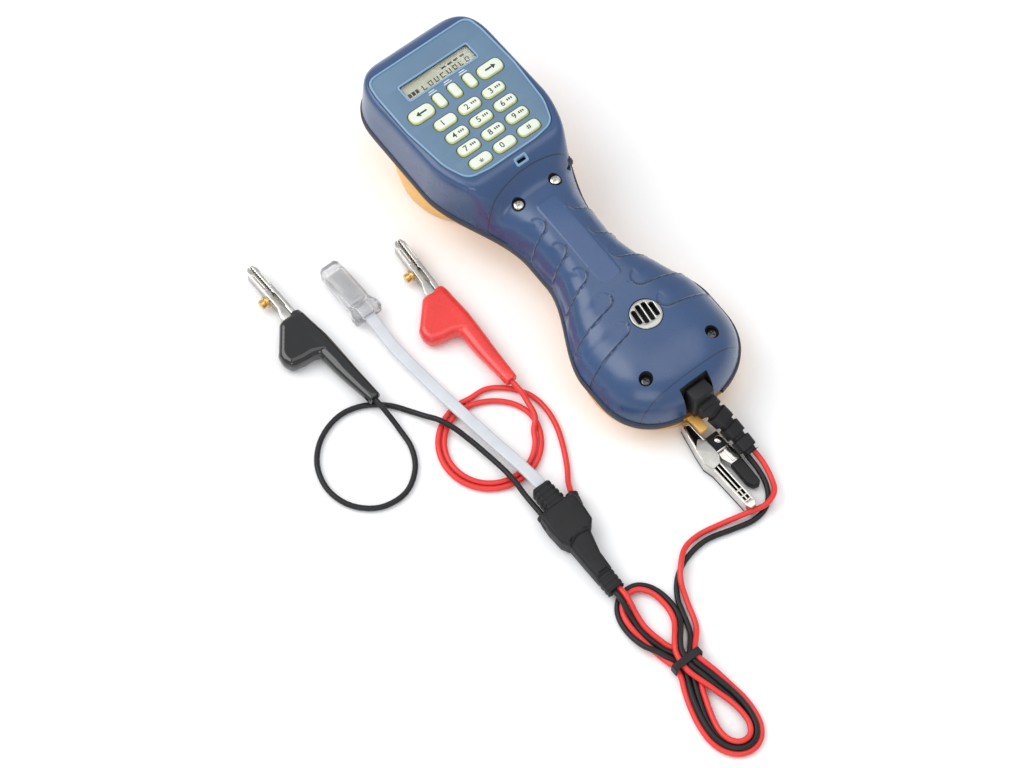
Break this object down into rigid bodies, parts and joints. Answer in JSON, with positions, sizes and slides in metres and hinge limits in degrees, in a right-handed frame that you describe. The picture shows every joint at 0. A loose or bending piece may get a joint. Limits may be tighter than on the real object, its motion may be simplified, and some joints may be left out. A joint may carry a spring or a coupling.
{
  "type": "telephone line test handset",
  "caption": "Line technician test handset with keypad, display, belt clip and a cord set with clip leads and a modular plug.",
  "frame": {"origin": "on the surface it rests on, below the middle of the handset and its belt clip", "axes": "+Y along the handset towards its head, +Z out of the keypad face"},
  "size_m": [0.2196, 0.4048, 0.0634],
  "materials": {
    "blue_shell": "moulded, satin gloss",
    "face_plate": "matt overlay",
    "seam_rubber": "matt",
    "amber_shell": "moulded, satin",
    "key_rubber": "smooth",
    "display_glass": "clear",
    "display_module": "grey-green display",
    "black_rubber": "matt",
    "black_plastic": "moulded",
    "black_vinyl": "glossy vinyl",
    "red_vinyl": "glossy vinyl",
    "board": "solder mask",
    "nickel": "nickel plate",
    "black_steel": "black oxide",
    "brass": "turned",
    "red_cord": "vinyl insulation",
    "black_cord": "vinyl insulation",
    "silver_cord": "flat silver satin",
    "clear_plastic": "clear vinyl"
  },
  "bodies": {
    "handset": {"upper_shell": "blue_shell", "face_plate": "face_plate", "seam_gasket": "seam_rubber", "rear_shell": "amber_shell", "display_window": "display_glass", "display_module": "display_module", "strain_relief": "black_rubber", "keypad_mat": "black_rubber", "splitter": "black_rubber", "hank_tie": "black_rubber", "ear_receiver": "black_plastic", "microphone": "black_plastic", "loudspeaker": "black_plastic", "battery": "black_plastic", "black_boot": "black_vinyl", "red_boot": "red_vinyl", "circuit_board": "board", "upper_screw_left": "nickel", "upper_screw_right": "nickel", "speaker_grille": "nickel", "clip_fixed_jaw": "nickel", "black_fixed_jaw": "nickel", "red_fixed_jaw": "nickel", "lower_screw_left": "black_steel", "lower_screw_right": "black_steel", "main_cord_red": "red_cord", "main_cord_hank": "red_cord", "red_lead_start": "red_cord", "red_lead_coil": "red_cord", "red_lead_end": "red_cord", "main_cord_black": "black_cord", "black_lead": "black_cord", "flat_cord": "silver_cord", "plug_boot": "clear_plastic", "modular_plug": "clear_plastic"},
    "key_1": {"key_1": "key_rubber"},
    "key_2": {"key_2": "key_rubber"},
    "key_3": {"key_3": "key_rubber"},
    "key_4": {"key_4": "key_rubber"},
    "key_5": {"key_5": "key_rubber"},
    "key_6": {"key_6": "key_rubber"},
    "key_7": {"key_7": "key_rubber"},
    "key_8": {"key_8": "key_rubber"},
    "key_9": {"key_9": "key_rubber"},
    "key_star": {"key_star": "key_rubber"},
    "key_0": {"key_0": "key_rubber"},
    "key_hash": {"key_hash": "key_rubber"},
    "key_recall": {"key_recall": "key_rubber"},
    "key_line": {"key_line": "key_rubber"},
    "soft_key_1": {"soft_key_1": "key_rubber"},
    "soft_key_2": {"soft_key_2": "key_rubber"},
    "soft_key_3": {"soft_key_3": "key_rubber"},
    "mode_switch": {"mode_switch": "black_plastic"},
    "clip_lever": {"clip_lever": "nickel"},
    "black_clip_jaw": {"black_moving_jaw": "nickel", "black_boot_fin": "black_vinyl"},
    "black_thumb_screw": {"black_thumb_screw": "brass"},
    "red_clip_jaw": {"red_moving_jaw": "nickel", "red_boot_fin": "red_vinyl"},
    "red_thumb_screw": {"red_thumb_screw": "brass"}
  },
  "joints": [
    {"name": "key_1_press", "type": "slide", "parent": "handset", "child": "key_1", "axis": [0, 0, -1], "range_m": [0, 0.001], "stiffness_N_per_m": 600},
    {"name": "key_2_press", "type": "slide", "parent": "handset", "child": "key_2", "axis": [0, 0, -1], "range_m": [0, 0.001], "stiffness_N_per_m": 600},
    {"name": "key_3_press", "type": "slide", "parent": "handset", "child": "key_3", "axis": [0, 0, -1], "range_m": [0, 0.001], "stiffness_N_per_m": 600},
    {"name": "key_4_press", "type": "slide", "parent": "handset", "child": "key_4", "axis": [0, 0, -1], "range_m": [0, 0.001], "stiffness_N_per_m": 600},
    {"name": "key_5_press", "type": "slide", "parent": "handset", "child": "key_5", "axis": [0, 0, -1], "range_m": [0, 0.001], "stiffness_N_per_m": 600},
    {"name": "key_6_press", "type": "slide", "parent": "handset", "child": "key_6", "axis": [0, 0, -1], "range_m": [0, 0.001], "stiffness_N_per_m": 600},
    {"name": "key_7_press", "type": "slide", "parent": "handset", "child": "key_7", "axis": [0, 0, -1], "range_m": [0, 0.001], "stiffness_N_per_m": 600},
    {"name": "key_8_press", "type": "slide", "parent": "handset", "child": "key_8", "axis": [0, 0, -1], "range_m": [0, 0.001], "stiffness_N_per_m": 600},
    {"name": "key_9_press", "type": "slide", "parent": "handset", "child": "key_9", "axis": [0, 0, -1], "range_m": [0, 0.001], "stiffness_N_per_m": 600},
    {"name": "key_star_press", "type": "slide", "parent": "handset", "child": "key_star", "axis": [0, 0, -1], "range_m": [0, 0.001], "stiffness_N_per_m": 600},
    {"name": "key_0_press", "type": "slide", "parent": "handset", "child": "key_0", "axis": [0, 0, -1], "range_m": [0, 0.001], "stiffness_N_per_m": 600},
    {"name": "key_hash_press", "type": "slide", "parent": "handset", "child": "key_hash", "axis": [0, 0, -1], "range_m": [0, 0.001], "stiffness_N_per_m": 600},
    {"name": "key_recall_press", "type": "slide", "parent": "handset", "child": "key_recall", "axis": [0, 0, -1], "range_m": [0, 0.001], "stiffness_N_per_m": 600},
    {"name": "key_line_press", "type": "slide", "parent": "handset", "child": "key_line", "axis": [0, 0, -1], "range_m": [0, 0.001], "stiffness_N_per_m": 600},
    {"name": "soft_key_1_press", "type": "slide", "parent": "handset", "child": "soft_key_1", "axis": [0, 0, -1], "range_m": [0, 0.001], "stiffness_N_per_m": 600},
    {"name": "soft_key_2_press", "type": "slide", "parent": "handset", "child": "soft_key_2", "axis": [0, 0, -1], "range_m": [0, 0.001], "stiffness_N_per_m": 600},
    {"name": "soft_key_3_press", "type": "slide", "parent": "handset", "child": "soft_key_3", "axis": [0, 0, -1], "range_m": [0, 0.001], "stiffness_N_per_m": 600},
    {"name": "mode_switch_slide", "type": "slide", "parent": "handset", "child": "mode_switch", "axis": [0, 1, 0], "range_m": [-0.002, 0.002]},
    {"name": "clip_lever_swing", "type": "hinge", "parent": "handset", "child": "clip_lever", "pos_m": [-0.003, -0.114, 0.003], "axis": [0, 0, -1], "range_deg": [0, 5], "stiffness_Nm_per_rad": 0.2},
    {"name": "black_clip_open", "type": "hinge", "parent": "handset", "child": "black_clip_jaw", "pos_m": [-0.13295, 0.07828, 0.0059], "axis": [0, 0, 1], "range_deg": [0, 10], "stiffness_Nm_per_rad": 0.3},
    {"name": "black_thumb_screw_turn", "type": "hinge", "parent": "black_clip_jaw", "child": "black_thumb_screw", "pos_m": [-0.13825, 0.09519, 0.0059], "axis": [-0.9998, -0.0175, 0], "continuous": true},
    {"name": "red_clip_open", "type": "hinge", "parent": "handset", "child": "red_clip_jaw", "pos_m": [-0.06528, 0.04307, 0.0059], "axis": [0, 0, 1], "range_deg": [0, 10], "stiffness_Nm_per_rad": 0.3},
    {"name": "red_thumb_screw_turn", "type": "hinge", "parent": "red_clip_jaw", "child": "red_thumb_screw", "pos_m": [-0.06902, 0.06039, 0.0059], "axis": [-0.9973, 0.0732, 0], "continuous": true}
  ]
}
